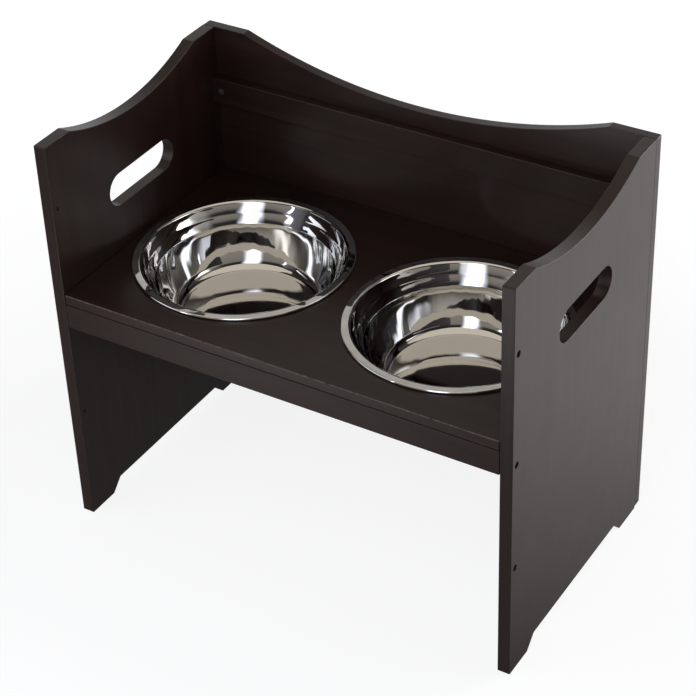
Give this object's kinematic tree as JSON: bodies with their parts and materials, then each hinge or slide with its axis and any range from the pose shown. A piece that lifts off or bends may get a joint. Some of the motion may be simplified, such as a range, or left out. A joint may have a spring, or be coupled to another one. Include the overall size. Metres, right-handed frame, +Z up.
{
  "type": "dog feeder stand",
  "caption": "Raised dark board feeder stand with scooped side and back panels, grip slots, a bowl shelf that bolts on at a chosen height, and steel bowls that lift out.",
  "frame": {"origin": "the middle of the footprint, on the floor", "axes": "+X to the right as seen from the open front, +Y towards the back panel, +Z up"},
  "size_m": [0.59, 0.34, 0.515],
  "materials": {
    "espresso_board": "satin dark brown laminate on fibreboard",
    "bowl_steel": "mirror polished",
    "zinc_steel": "zinc plated",
    "beech_dowel": "plain turned beech"
  },
  "bodies": {
    "stand": {"left_side_panel": "espresso_board", "right_side_panel": "espresso_board", "back_panel": "espresso_board", "bowl_shelf": "espresso_board", "front_rail": "espresso_board", "upper_ledger": "espresso_board", "middle_ledger": "espresso_board", "lower_ledger": "espresso_board", "left_rail_bolt": "zinc_steel", "right_rail_bolt": "zinc_steel", "left_barrel_nut": "zinc_steel", "right_barrel_nut": "zinc_steel", "upper_ledger_screws": "zinc_steel", "middle_ledger_screws": "zinc_steel", "lower_ledger_screws": "zinc_steel", "left_back_screws": "zinc_steel", "right_back_screws": "zinc_steel", "shelf_dowels": "beech_dowel", "upper_ledger_dowels": "beech_dowel", "middle_ledger_dowels": "beech_dowel", "lower_ledger_dowels": "beech_dowel", "left_back_dowels": "beech_dowel", "right_back_dowels": "beech_dowel"},
    "left_bowl": {"left_bowl": "bowl_steel"},
    "right_bowl": {"right_bowl": "bowl_steel"}
  },
  "joints": [
    {"name": "left_bowl_lift", "type": "slide", "parent": "stand", "child": "left_bowl", "axis": [0, 0, 1], "range_m": [0, 0.265]},
    {"name": "right_bowl_lift", "type": "slide", "parent": "stand", "child": "right_bowl", "axis": [0, 0, 1], "range_m": [0, 0.265]}
  ]
}
